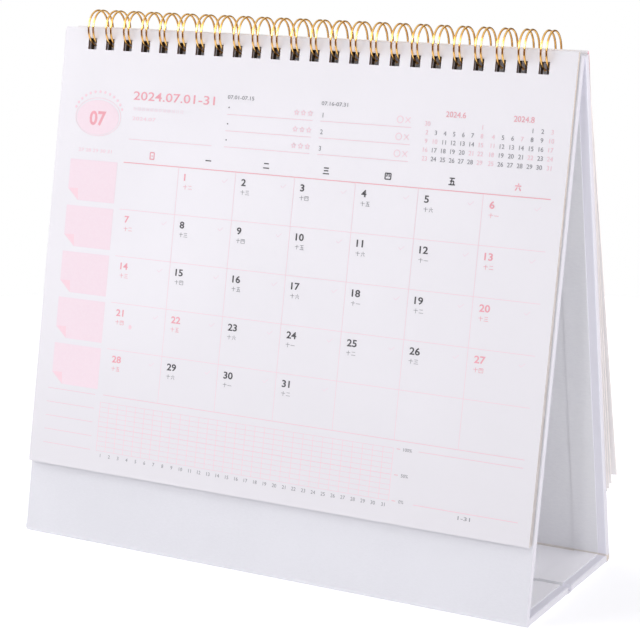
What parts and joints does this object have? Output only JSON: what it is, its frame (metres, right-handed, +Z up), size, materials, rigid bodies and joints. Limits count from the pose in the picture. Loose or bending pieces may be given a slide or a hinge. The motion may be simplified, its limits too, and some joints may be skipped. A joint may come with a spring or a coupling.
{
  "type": "desk calendar",
  "caption": "Hard card easel desk calendar with a twin-loop wire binding, a block of month leaves in front and turned leaves fanned behind.",
  "frame": {"origin": "middle of the base's underside, on the desk", "axes": "+X along the calendar to the reader's right, -Y towards the reader, +Z up"},
  "size_m": [0.2224, 0.0896, 0.2099],
  "materials": {
    "greyboard": "matt grey millboard",
    "wrap_paper": "smooth white cover paper",
    "liner_paper": "uncoated white paper",
    "leaf_paper": "smooth white leaf with pink and grey print",
    "turned_leaf_paper": "smooth white leaf, edges tinted by the print",
    "gold_wire": "bright gold plated wire"
  },
  "bodies": {
    "easel": {"front_board": "greyboard", "base_front_board": "greyboard", "base_back_board": "greyboard", "back_board": "greyboard", "outer_wrap": "wrap_paper", "inner_liner": "liner_paper", "wire_binding": "gold_wire"},
    "front_leaves": {"front_leaves": "leaf_paper"},
    "turned_leaves": {"turned_leaves": "turned_leaf_paper"}
  },
  "joints": [
    {"name": "front_leaves_turn", "type": "hinge", "parent": "easel", "child": "front_leaves", "pos_m": [0, 0, 0.202], "axis": [1, 0, 0], "range_deg": [-110, 0]},
    {"name": "turned_leaves_turn", "type": "hinge", "parent": "easel", "child": "turned_leaves", "pos_m": [0, 0, 0.202], "axis": [1, 0, 0], "range_deg": [0, 42]}
  ]
}
